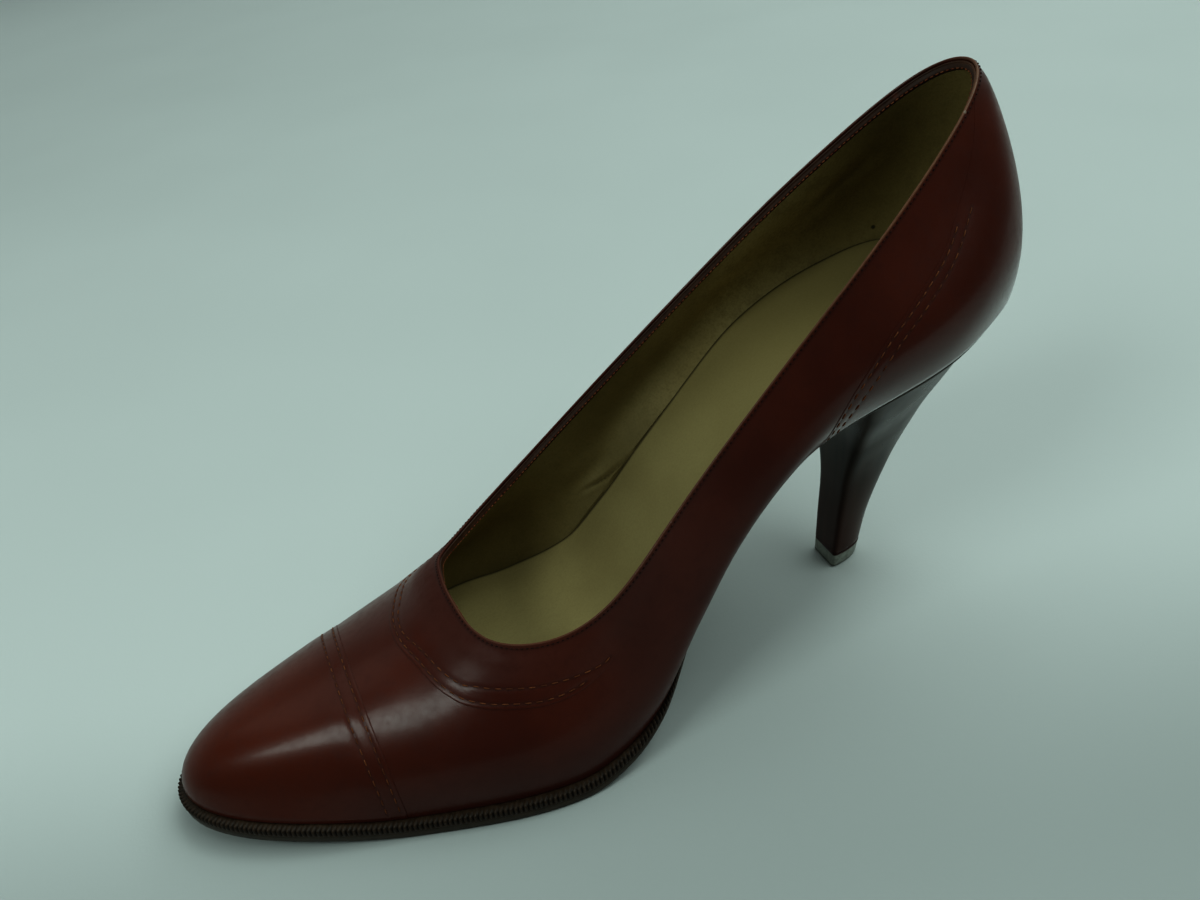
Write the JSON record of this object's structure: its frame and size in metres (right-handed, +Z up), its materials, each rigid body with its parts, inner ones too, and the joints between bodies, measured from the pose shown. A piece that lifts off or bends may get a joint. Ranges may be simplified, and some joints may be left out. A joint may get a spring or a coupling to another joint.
{
  "type": "high-heeled pump shoe",
  "caption": "Left pump with an almond toe, a slim high heel and a ribbed welt; hollow leather upper with toe cap, throat piece and counter, open at the collar.",
  "frame": {"origin": "middle of the shoe's length and width, on the floor it stands on", "axes": "+X from heel to toe, +Y towards the shoe's own left, its lateral side, +Z up"},
  "size_m": [0.222, 0.0814, 0.1283],
  "materials": {
    "upper_leather": "polished smooth",
    "overlay_leather": "polished smooth",
    "sock_leather": "matt",
    "welt_leather": "waxed edge",
    "sole_leather": "waxed edge",
    "heel_plastic": "glossy",
    "lift_rubber": "worn"
  },
  "bodies": {
    "root": {"upper": "upper_leather", "toe_cap": "overlay_leather", "throat_piece": "overlay_leather", "counter": "overlay_leather", "insole": "sock_leather", "welt": "welt_leather", "outsole": "sole_leather", "heel": "heel_plastic", "top_piece": "lift_rubber"}
  },
  "joints": []
}
